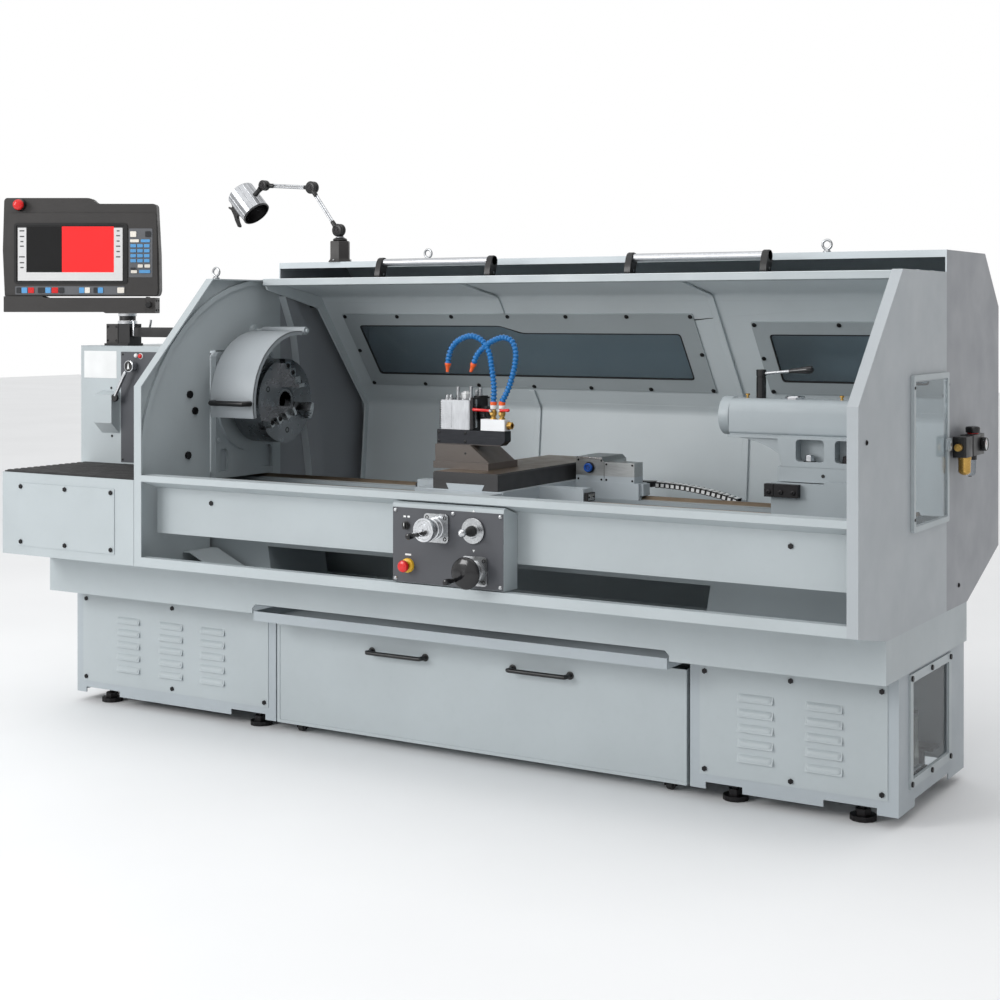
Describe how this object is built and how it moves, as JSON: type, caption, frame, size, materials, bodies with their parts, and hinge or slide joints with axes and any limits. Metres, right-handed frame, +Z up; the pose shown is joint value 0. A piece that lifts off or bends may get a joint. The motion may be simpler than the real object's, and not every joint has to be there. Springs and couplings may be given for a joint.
{
  "type": "cnc turning lathe",
  "caption": "Flat bed cnc turning lathe with enclosure, swing door, carriage, tailstock, chuck guard, swivelling operator pendant and jointed work lamp",
  "frame": {"origin": "on the floor, below the middle of the whole machine", "axes": "+X along the bed from the headstock to the tailstock, +Y from the operator to the back, +Z up"},
  "size_m": [3.8436, 1.635, 2.154],
  "materials": {
    "left_pedestal": "satin",
    "right_pedestal": "satin",
    "cover_panels": "satin",
    "cover_screws": "black",
    "levelling_feet": "satin",
    "drip_tray": "satin",
    "left_end_plate": "satin",
    "right_end_plate": "satin",
    "front_guard": "satin",
    "bed": "ground",
    "headstock": "painted",
    "headstock_cover": "satin",
    "headstock_panel": "satin",
    "end_cover": "satin",
    "rubber_mat": "ribbed",
    "rear_cover": "satin",
    "lifting_eyes": "plain",
    "drag_chain": "matt",
    "air_unit": "plain",
    "lubricator": "plain",
    "pendant_post": "black",
    "lamp_base": "satin",
    "spindle": "ground",
    "chuck": "ground",
    "jaw_1": "ground",
    "jaw_2": "ground",
    "jaw_3": "ground",
    "chuck_guard": "satin",
    "front_door": "satin",
    "door_fittings": "matt",
    "door_windows": "clear",
    "saddle": "painted",
    "apron": "satin",
    "z_handwheel": "polished",
    "x_handwheel": "satin",
    "joystick": "gloss",
    "stop_button": "gloss",
    "cycle_knob": "matt",
    "cross_slide": "ground",
    "tool_riser": "black oxide",
    "toolpost": "ground",
    "valve_block": "plain",
    "coolant_hoses": "matt",
    "valve_lever_1": "matt",
    "valve_lever_2": "matt",
    "tailstock": "painted",
    "quill": "ground",
    "quill_handwheel": "polished",
    "tailstock_lever": "black",
    "coolant_tank": "satin",
    "chip_drawer": "satin",
    "pendant_arm": "satin",
    "pendant": "satin",
    "pendant_stop": "gloss",
    "lamp_turret": "satin",
    "lamp_lower_arm": "satin",
    "lamp_upper_arm": "satin",
    "lamp_head": "satin",
    "side_door": "satin",
    "gear_selector": "satin"
  },
  "bodies": {
    "machine": {"left_pedestal": "left_pedestal", "right_pedestal": "right_pedestal", "cover_panels": "cover_panels", "cover_screws": "cover_screws", "levelling_feet": "levelling_feet", "drip_tray": "drip_tray", "left_end_plate": "left_end_plate", "right_end_plate": "right_end_plate", "front_guard": "front_guard", "bed": "bed", "headstock": "headstock", "headstock_cover": "headstock_cover", "headstock_panel": "headstock_panel", "end_cover": "end_cover", "rubber_mat": "rubber_mat", "rear_cover": "rear_cover", "lifting_eyes": "lifting_eyes", "drag_chain": "drag_chain", "air_unit": "air_unit", "lubricator": "lubricator", "pendant_post": "pendant_post", "lamp_base": "lamp_base"},
    "spindle": {"spindle": "spindle", "chuck": "chuck"},
    "jaw_1": {"jaw_1": "jaw_1"},
    "jaw_2": {"jaw_2": "jaw_2"},
    "jaw_3": {"jaw_3": "jaw_3"},
    "chuck_guard": {"chuck_guard": "chuck_guard"},
    "front_door": {"front_door": "front_door", "door_fittings": "door_fittings", "door_windows": "door_windows"},
    "carriage": {"saddle": "saddle", "apron": "apron"},
    "z_handwheel": {"z_handwheel": "z_handwheel"},
    "x_handwheel": {"x_handwheel": "x_handwheel"},
    "joystick": {"joystick": "joystick"},
    "stop_button": {"stop_button": "stop_button"},
    "cycle_knob": {"cycle_knob": "cycle_knob"},
    "cross_slide": {"cross_slide": "cross_slide", "tool_riser": "tool_riser", "toolpost": "toolpost", "valve_block": "valve_block", "coolant_hoses": "coolant_hoses"},
    "valve_lever_1": {"valve_lever_1": "valve_lever_1"},
    "valve_lever_2": {"valve_lever_2": "valve_lever_2"},
    "tailstock": {"tailstock": "tailstock"},
    "quill": {"quill": "quill"},
    "quill_handwheel": {"quill_handwheel": "quill_handwheel"},
    "tailstock_lever": {"tailstock_lever": "tailstock_lever"},
    "coolant_tank": {"coolant_tank": "coolant_tank"},
    "chip_drawer": {"chip_drawer": "chip_drawer"},
    "pendant": {"pendant_arm": "pendant_arm", "pendant": "pendant"},
    "pendant_stop": {"pendant_stop": "pendant_stop"},
    "lamp_turret": {"lamp_turret": "lamp_turret"},
    "lamp_lower_arm": {"lamp_lower_arm": "lamp_lower_arm"},
    "lamp_upper_arm": {"lamp_upper_arm": "lamp_upper_arm"},
    "lamp_head": {"lamp_head": "lamp_head"},
    "side_door": {"side_door": "side_door"},
    "gear_selector": {"gear_selector": "gear_selector"}
  },
  "joints": [
    {"name": "spindle_spin", "type": "hinge", "parent": "machine", "child": "spindle", "pos_m": [-0.80517, -0.0515, 1.248], "axis": [1, 0, 0], "continuous": true},
    {"name": "jaw_1_slide", "type": "slide", "parent": "spindle", "child": "jaw_1", "axis": [0, -0.1045, 0.9945], "range_m": [-0.026, 0.01]},
    {"name": "jaw_2_slide", "type": "slide", "parent": "spindle", "child": "jaw_2", "axis": [0, -0.809, -0.5878], "range_m": [-0.026, 0.01]},
    {"name": "jaw_3_slide", "type": "slide", "parent": "spindle", "child": "jaw_3", "axis": [0, 0.9135, -0.4067], "range_m": [-0.026, 0.01]},
    {"name": "guard_hinge", "type": "hinge", "parent": "machine", "child": "chuck_guard", "pos_m": [-0.78217, 0.0025, 1.525], "axis": [1, 0, 0], "range_deg": [-45, 0]},
    {"name": "door_swing", "type": "hinge", "parent": "machine", "child": "front_door", "pos_m": [0.44883, 0.0685, 0.99], "axis": [1, 0, 0], "range_deg": [0, 84]},
    {"name": "carriage_travel", "type": "slide", "parent": "machine", "child": "carriage", "axis": [1, 0, 0], "range_m": [-0.72, 0.5]},
    {"name": "z_wheel_turn", "type": "hinge", "parent": "carriage", "child": "z_handwheel", "pos_m": [0.39383, -0.7215, 0.881], "axis": [0, 1, 0], "continuous": true},
    {"name": "x_wheel_turn", "type": "hinge", "parent": "carriage", "child": "x_handwheel", "pos_m": [0.54983, -0.7215, 0.75], "axis": [0, 1, 0], "continuous": true},
    {"name": "joystick_tilt", "type": "hinge", "parent": "carriage", "child": "joystick", "pos_m": [0.54283, -0.6875, 0.881], "axis": [1, 0, 0], "range_deg": [-12, 12], "stiffness_Nm_per_rad": 8},
    {"name": "stop_press", "type": "slide", "parent": "carriage", "child": "stop_button", "axis": [0, 1, 0], "range_m": [0, 0.006], "stiffness_N_per_m": 1500},
    {"name": "cycle_turn", "type": "hinge", "parent": "carriage", "child": "cycle_knob", "pos_m": [0.27683, -0.6905, 0.882], "axis": [0, 1, 0], "range_deg": [-45, 45]},
    {"name": "cross_travel", "type": "slide", "parent": "carriage", "child": "cross_slide", "axis": [0, 1, 0], "range_m": [-0.03, 0.17]},
    {"name": "valve_1_turn", "type": "hinge", "parent": "cross_slide", "child": "valve_lever_1", "pos_m": [0.40383, -0.3485, 1.254], "axis": [0, 1, 0], "range_deg": [0, 90]},
    {"name": "valve_2_turn", "type": "hinge", "parent": "cross_slide", "child": "valve_lever_2", "pos_m": [0.43883, -0.3485, 1.256], "axis": [0, 1, 0], "range_deg": [0, 90]},
    {"name": "tailstock_travel", "type": "slide", "parent": "machine", "child": "tailstock", "axis": [1, 0, 0], "range_m": [-0.55, 0.03]},
    {"name": "quill_wheel_turn", "type": "hinge", "parent": "tailstock", "child": "quill_handwheel", "pos_m": [1.74783, -0.0515, 1.248], "axis": [1, 0, 0], "range_deg": [0, 10800]},
    {"name": "quill_travel", "type": "slide", "parent": "tailstock", "child": "quill", "axis": [1, 0, 0], "range_m": [-0.15, 0]},
    {"name": "quill_lock_turn", "type": "hinge", "parent": "tailstock", "child": "tailstock_lever", "pos_m": [1.28783, -0.0515, 1.365], "axis": [0, 0, 1], "range_deg": [-60, 60]},
    {"name": "tank_pull", "type": "slide", "parent": "machine", "child": "coolant_tank", "axis": [0, 1, 0], "range_m": [-0.6, 0]},
    {"name": "chip_drawer_pull", "type": "slide", "parent": "machine", "child": "chip_drawer", "axis": [0, 1, 0], "range_m": [-0.5, 0]},
    {"name": "pendant_swivel", "type": "hinge", "parent": "machine", "child": "pendant", "pos_m": [-1.46917, -0.1695, 1.675], "axis": [0, 0, 1], "range_deg": [-60, 45]},
    {"name": "pendant_stop_press", "type": "slide", "parent": "pendant", "child": "pendant_stop", "axis": [-0.518, 0.8554, 0], "range_m": [0, 0.0045], "stiffness_N_per_m": 1500},
    {"name": "lamp_swivel", "type": "hinge", "parent": "machine", "child": "lamp_turret", "pos_m": [-0.66717, 0.2185, 1.905], "axis": [0, 0, 1], "range_deg": [-20, 75]},
    {"name": "lamp_shoulder", "type": "hinge", "parent": "lamp_turret", "child": "lamp_lower_arm", "pos_m": [-0.66717, 0.2025, 1.934], "axis": [0, 1, 0], "range_deg": [-15, 15]},
    {"name": "lamp_elbow", "type": "hinge", "parent": "lamp_lower_arm", "child": "lamp_upper_arm", "pos_m": [-0.80417, 0.2105, 2.113], "axis": [0, 1, 0], "range_deg": [-15, 30]},
    {"name": "lamp_wrist", "type": "hinge", "parent": "lamp_upper_arm", "child": "lamp_head", "pos_m": [-1.05617, 0.2025, 2.132], "axis": [0, 1, 0], "range_deg": [-20, 30]},
    {"name": "side_door_hinge", "type": "hinge", "parent": "machine", "child": "side_door", "pos_m": [1.85983, -0.2015, 1.153], "axis": [0, 0, 1], "range_deg": [-110, 0]},
    {"name": "gear_shift", "type": "hinge", "parent": "machine", "child": "gear_selector", "pos_m": [-1.38517, -0.2415, 1.379], "axis": [0, 1, 0], "range_deg": [-60, 0]}
  ],
  "couplings": [
    {"joint": "jaw_2_slide", "follows": "jaw_1_slide", "ratio": 1},
    {"joint": "jaw_3_slide", "follows": "jaw_1_slide", "ratio": 1},
    {"joint": "quill_travel", "follows": "quill_wheel_turn", "m_per_rad": -0.00079577}
  ]
}
